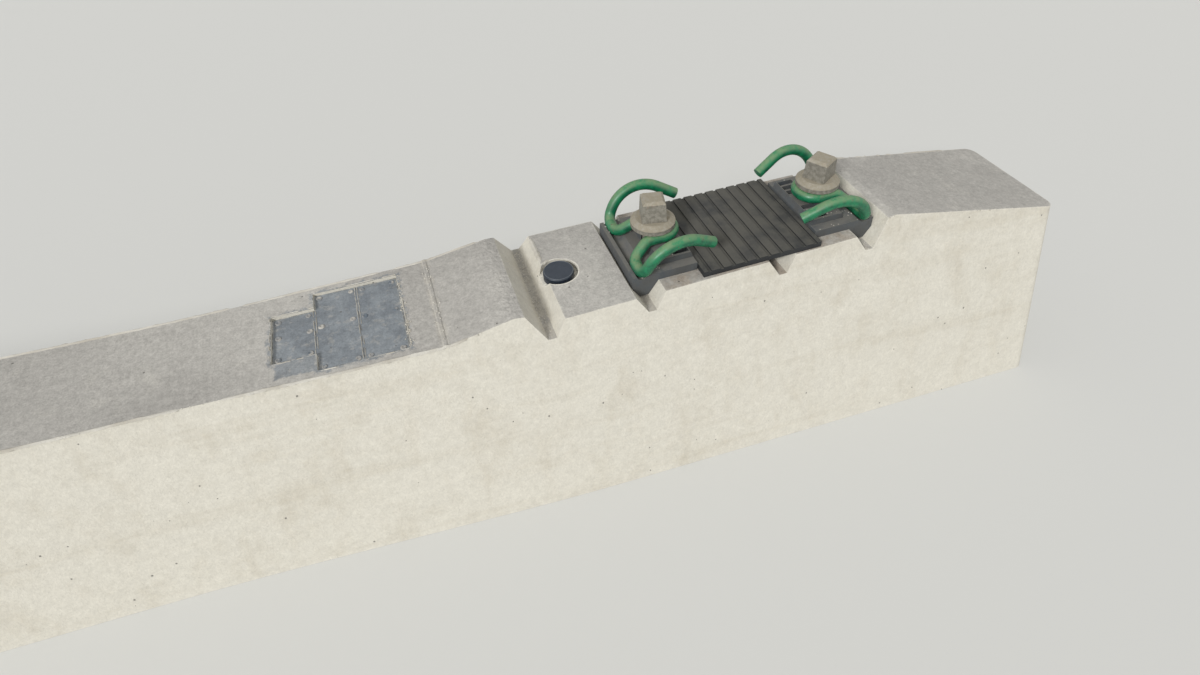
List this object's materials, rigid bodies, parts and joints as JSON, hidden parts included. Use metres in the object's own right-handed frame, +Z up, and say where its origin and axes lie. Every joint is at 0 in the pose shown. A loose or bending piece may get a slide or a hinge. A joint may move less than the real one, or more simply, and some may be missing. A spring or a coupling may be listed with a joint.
{
  "type": "concrete railway sleeper",
  "caption": "Prestressed concrete railway sleeper with a sagging middle, sloping grooved rail seats, and bent-wire tension clamps held by square-headed screws on plastic guide plates.",
  "frame": {"origin": "middle of the underside, under the middle of the sleeper's length", "axes": "+X along the sleeper towards the end with the stepped marking panel, +Y along the track, +Z up"},
  "size_m": [2.6, 0.3, 0.3176],
  "materials": {
    "concrete": "matt cast concrete, pale grey, weathered",
    "guide_plate_plastic": "dusty dark grey moulded plastic",
    "clamp_green_steel": "dusty green coating on round spring steel",
    "screw_steel": "dull galvanised steel, dusty",
    "dowel_plastic": "moulded plastic",
    "cap_plastic": "near-black moulded plastic",
    "pad_rubber": "dark grooved rail pad"
  },
  "bodies": {
    "root": {"sleeper_body": "concrete", "guide_plate_right_inner": "guide_plate_plastic", "tension_clamp_right_inner": "clamp_green_steel", "screw_spike_right_inner": "screw_steel", "guide_plate_right_outer": "guide_plate_plastic", "tension_clamp_right_outer": "clamp_green_steel", "screw_spike_right_outer": "screw_steel", "screw_dowel_right_1": "dowel_plastic", "screw_dowel_right_2": "dowel_plastic", "screw_dowel_right_3": "dowel_plastic", "screw_dowel_right_4": "dowel_plastic", "dowel_cap_right": "cap_plastic", "rail_pad_right": "pad_rubber", "guide_plate_left_inner": "guide_plate_plastic", "tension_clamp_left_inner": "clamp_green_steel", "screw_spike_left_inner": "screw_steel", "guide_plate_left_outer": "guide_plate_plastic", "tension_clamp_left_outer": "clamp_green_steel", "screw_spike_left_outer": "screw_steel", "screw_dowel_left_1": "dowel_plastic", "screw_dowel_left_2": "dowel_plastic", "screw_dowel_left_3": "dowel_plastic", "screw_dowel_left_4": "dowel_plastic", "dowel_cap_left": "cap_plastic", "rail_pad_left": "pad_rubber"}
  },
  "joints": []
}
